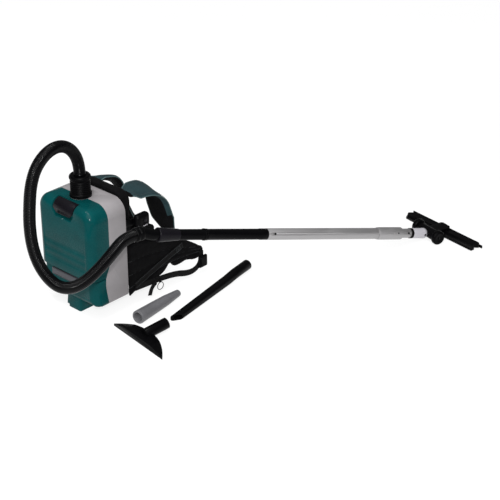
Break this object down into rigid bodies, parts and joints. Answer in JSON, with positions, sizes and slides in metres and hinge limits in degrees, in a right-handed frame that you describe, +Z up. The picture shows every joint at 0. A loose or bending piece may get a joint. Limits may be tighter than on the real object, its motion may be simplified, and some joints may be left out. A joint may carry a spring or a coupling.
{
  "type": "backpack vacuum cleaner",
  "caption": "Battery backpack vacuum on a padded harness, with swivelling hose, telescopic wand, pivoting floor head and loose crevice, cone and upholstery nozzles.",
  "frame": {"origin": "on the floor under the axis of the hose port, on the flat underside of the unit's foot", "axes": "+Z up, +Y towards the harness and the wearer's back, -Y the front of the dust cover, +X the side where the wand lies"},
  "size_m": [0.7833, 1.3634, 0.5533],
  "materials": {
    "teal_shell": "gloss teal moulding",
    "grey_shell": "satin light warm grey moulding",
    "black_plastic": "satin black moulding",
    "dark_plastic": "fine textured dark grey",
    "light_plastic": "satin light grey",
    "grey_plastic": "satin mid grey",
    "hose_plastic": "ribbed, soft sheen",
    "tube_metal": "brushed anodised tube",
    "steel": "turned",
    "motor_metal": "laminated stack",
    "soft_rubber": "matte",
    "pad_fabric": "padded spacer mesh",
    "strap_fabric": "woven cover, grey teal",
    "webbing": "ribbed webbing",
    "bag_fleece": "non-woven fleece",
    "filter_paper": "pleated filter medium",
    "board_green": "lacquered board"
  },
  "bodies": {
    "unit": {"main_housing": "grey_shell", "base_housing": "teal_shell", "exhaust_grille": "grey_shell", "chamber_seal": "soft_rubber", "inlet_port": "black_plastic", "dust_bag": "bag_fleece", "filter_frame": "black_plastic", "hepa_filter": "filter_paper", "motor_housing": "black_plastic", "motor": "motor_metal", "control_board": "board_green", "housing_screws": "steel", "hinge_pins": "steel", "back_frame": "black_plastic", "back_pad": "pad_fabric", "shoulder_strap_right": "strap_fabric", "shoulder_strap_left": "strap_fabric", "strap_webbing_right": "webbing", "strap_webbing_left": "webbing", "strap_adjusters": "black_plastic", "waist_wing_right": "pad_fabric", "waist_wing_left": "pad_fabric", "belt_webbing_right": "webbing", "belt_webbing_left": "webbing", "buckle_socket": "black_plastic", "buckle_plug": "black_plastic", "control_pod": "black_plastic"},
    "cover": {"dust_cover": "teal_shell"},
    "latch": {"cover_latch": "dark_plastic"},
    "rotor": {"motor_shaft": "steel", "impeller": "light_plastic"},
    "battery_right": {"battery_right": "black_plastic"},
    "battery_left": {"battery_left": "black_plastic"},
    "battery_button_right": {"battery_button_right": "dark_plastic"},
    "battery_button_left": {"battery_button_left": "dark_plastic"},
    "power_button": {"power_button": "dark_plastic"},
    "key_ring": {"key_ring": "steel"},
    "hose_set": {"inlet_cuff": "black_plastic", "hose": "hose_plastic", "handle_pipe": "black_plastic", "upper_tube": "black_plastic", "lower_tube": "tube_metal"},
    "hose_end_cuff": {"hose_end_cuff": "black_plastic"},
    "suction_ring": {"suction_ring": "dark_plastic"},
    "tube_button": {"tube_button": "steel"},
    "lock_collar": {"lock_collar": "tube_metal"},
    "inner_tube": {"inner_tube": "tube_metal", "tube_seal": "soft_rubber", "ball_connector": "light_plastic"},
    "head_button": {"head_button": "steel"},
    "neck": {"neck_yoke": "black_plastic", "wheel_axle": "steel"},
    "wheel_left": {"head_wheel_left": "black_plastic"},
    "wheel_right": {"head_wheel_right": "black_plastic"},
    "head": {"head_body": "black_plastic", "brush_strips": "soft_rubber", "wiper_strip": "soft_rubber"},
    "crevice_nozzle": {"crevice_nozzle": "black_plastic"},
    "cone_nozzle": {"cone_nozzle": "grey_plastic"},
    "upholstery_nozzle": {"upholstery_nozzle": "black_plastic"}
  },
  "joints": [
    {"name": "cover_hinge", "type": "hinge", "parent": "unit", "child": "cover", "pos_m": [0, -0.066, 0.137], "axis": [1, 0, 0], "range_deg": [0, 30]},
    {"name": "latch_hinge", "type": "hinge", "parent": "cover", "child": "latch", "pos_m": [0, -0.0455, 0.349], "axis": [-1, 0, 0], "range_deg": [0, 20], "stiffness_Nm_per_rad": 0.3},
    {"name": "rotor_spin", "type": "hinge", "parent": "unit", "child": "rotor", "pos_m": [0, 0.008, 0.1], "axis": [0, 0, 1], "continuous": true},
    {"name": "battery_slide_right", "type": "slide", "parent": "unit", "child": "battery_right", "axis": [0, 0, -1], "range_m": [0, 0.04]},
    {"name": "battery_release_right", "type": "slide", "parent": "battery_right", "child": "battery_button_right", "axis": [0, 1, 0], "range_m": [0, 0.003], "stiffness_N_per_m": 400},
    {"name": "battery_slide_left", "type": "slide", "parent": "unit", "child": "battery_left", "axis": [0, 0, -1], "range_m": [0, 0.04]},
    {"name": "battery_release_left", "type": "slide", "parent": "battery_left", "child": "battery_button_left", "axis": [0, 1, 0], "range_m": [0, 0.003], "stiffness_N_per_m": 400},
    {"name": "power_press", "type": "slide", "parent": "unit", "child": "power_button", "axis": [-1, 0, 0], "range_m": [0, 0.0012], "stiffness_N_per_m": 500},
    {"name": "key_ring_swing", "type": "hinge", "parent": "unit", "child": "key_ring", "pos_m": [0.12, 0.186, 0.04], "axis": [0, 1, 0], "range_deg": [-60, 15]},
    {"name": "hose_swivel", "type": "hinge", "parent": "unit", "child": "hose_set", "pos_m": [0, 0, 0.357], "axis": [0, 0, 1], "range_deg": [-25, 25]},
    {"name": "hose_end_swivel", "type": "hinge", "parent": "hose_set", "child": "hose_end_cuff", "pos_m": [0.21687, 0.00021, 0.30004], "axis": [0.1202, 0.9919, -0.0401], "continuous": true},
    {"name": "suction_ring_turn", "type": "hinge", "parent": "hose_set", "child": "suction_ring", "pos_m": [0.235, 0.068, 0.283], "axis": [0.2474, 0.9332, -0.2605], "range_deg": [0, 90]},
    {"name": "tube_button_press", "type": "slide", "parent": "hose_set", "child": "tube_button", "axis": [-0.9166, 0.1383, -0.375], "range_m": [0, 0.0025], "stiffness_N_per_m": 400},
    {"name": "lock_collar_slide", "type": "slide", "parent": "hose_set", "child": "lock_collar", "axis": [-0.2474, -0.9332, 0.2605], "range_m": [0, 0.008], "stiffness_N_per_m": 500},
    {"name": "telescope", "type": "slide", "parent": "hose_set", "child": "inner_tube", "axis": [0.2474, 0.9332, -0.2605], "range_m": [0, 0.24]},
    {"name": "head_button_press", "type": "slide", "parent": "inner_tube", "child": "head_button", "axis": [-0.9166, 0.1383, -0.375], "range_m": [0, 0.002], "stiffness_N_per_m": 400},
    {"name": "head_pitch", "type": "hinge", "parent": "inner_tube", "child": "neck", "pos_m": [0.481, 0.996, 0.024], "axis": [0.9666, -0.2562, 0], "range_deg": [0, 50]},
    {"name": "head_swivel", "type": "hinge", "parent": "neck", "child": "head", "pos_m": [0.50252, 1.0772, 0], "axis": [0, 0, 1], "range_deg": [-21, 8]},
    {"name": "wheel_spin_left", "type": "hinge", "parent": "neck", "child": "wheel_left", "pos_m": [0.48715, 1.0192, 0.023], "axis": [0.9666, -0.2562, 0], "continuous": true},
    {"name": "wheel_spin_right", "type": "hinge", "parent": "neck", "child": "wheel_right", "pos_m": [0.48715, 1.0192, 0.023], "axis": [0.9666, -0.2562, 0], "continuous": true},
    {"name": "crevice_lift_off", "type": "slide", "parent": "unit", "child": "crevice_nozzle", "axis": [0, 0, 1], "range_m": [0, 0.15]},
    {"name": "cone_lift_off", "type": "slide", "parent": "unit", "child": "cone_nozzle", "axis": [0, 0, 1], "range_m": [0, 0.15]},
    {"name": "upholstery_lift_off", "type": "slide", "parent": "unit", "child": "upholstery_nozzle", "axis": [0, 0, 1], "range_m": [0, 0.15]}
  ]
}
